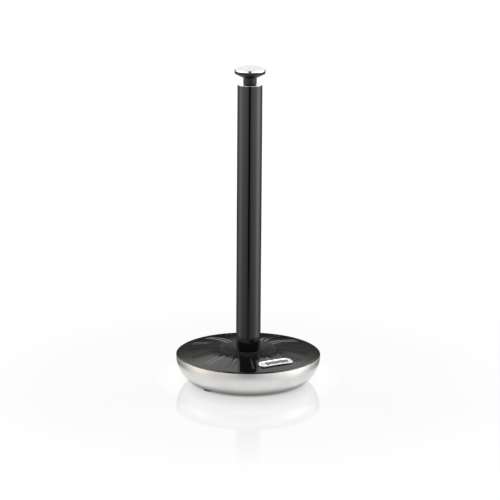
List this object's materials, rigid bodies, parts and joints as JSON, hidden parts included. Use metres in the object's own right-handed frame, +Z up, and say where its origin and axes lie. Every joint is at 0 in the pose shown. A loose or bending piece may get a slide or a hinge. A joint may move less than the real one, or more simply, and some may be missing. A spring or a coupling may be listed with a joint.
{
  "type": "paper towel holder",
  "caption": "Free-standing holder for a paper towel roll: weighted round steel base with a glossy black lined cover, tall black pole and a screw-on chromed finial.",
  "frame": {"origin": "on the table, under the middle of the base", "axes": "+Z up along the pole; -Y towards the viewer of the front, where the badge lies front right; +X to the right"},
  "size_m": [0.15, 0.15, 0.331],
  "materials": {
    "brushed_stainless": "stainless steel, satin brushed round the bowl",
    "gloss_black_moulding": "high-gloss black moulded plastic with engraved lines",
    "gloss_black_lacquer": "gloss black powder-coated steel tube",
    "satin_black_moulding": "satin black moulded plastic",
    "bright_chrome": "bright chrome plate",
    "cast_iron": "as-cast, black dipped",
    "matte_black_plastic": "fine matt texture",
    "black_rubber": "matt soft rubber",
    "zinc_plated_steel": "bright zinc-plated steel",
    "nylon": "black nylon",
    "foam_tape": "thin double-sided foam tape"
  },
  "bodies": {
    "base": {"base_shell": "brushed_stainless", "base_cover": "gloss_black_moulding", "ballast_disc": "cast_iron", "bottom_plate": "matte_black_plastic", "base_screws": "zinc_plated_steel", "foot_front_left": "black_rubber", "foot_right": "black_rubber", "foot_rear": "black_rubber", "pole_tube": "gloss_black_lacquer", "pole_grommet": "black_rubber", "lower_plug": "zinc_plated_steel", "anti_turn_pin": "zinc_plated_steel", "pole_bolt": "zinc_plated_steel", "pole_washer": "zinc_plated_steel", "pole_lock_washer": "zinc_plated_steel", "top_collar": "bright_chrome", "badge_plate": "bright_chrome", "badge_pad": "foam_tape"},
    "washer": {"finial_washer": "nylon"},
    "finial": {"finial_stem": "satin_black_moulding", "finial_stud": "zinc_plated_steel", "finial_cap": "bright_chrome"}
  },
  "joints": [
    {"name": "finial_rise", "type": "slide", "parent": "base", "child": "washer", "axis": [0, 0, 1], "range_m": [0, 0.0101]},
    {"name": "finial_turn", "type": "hinge", "parent": "washer", "child": "finial", "pos_m": [0, 0, 0.3123], "axis": [0, 0, 1], "range_deg": [0, 3600]}
  ],
  "couplings": [
    {"joint": "finial_rise", "follows": "finial_turn", "m_per_rad": 0.00015915}
  ]
}
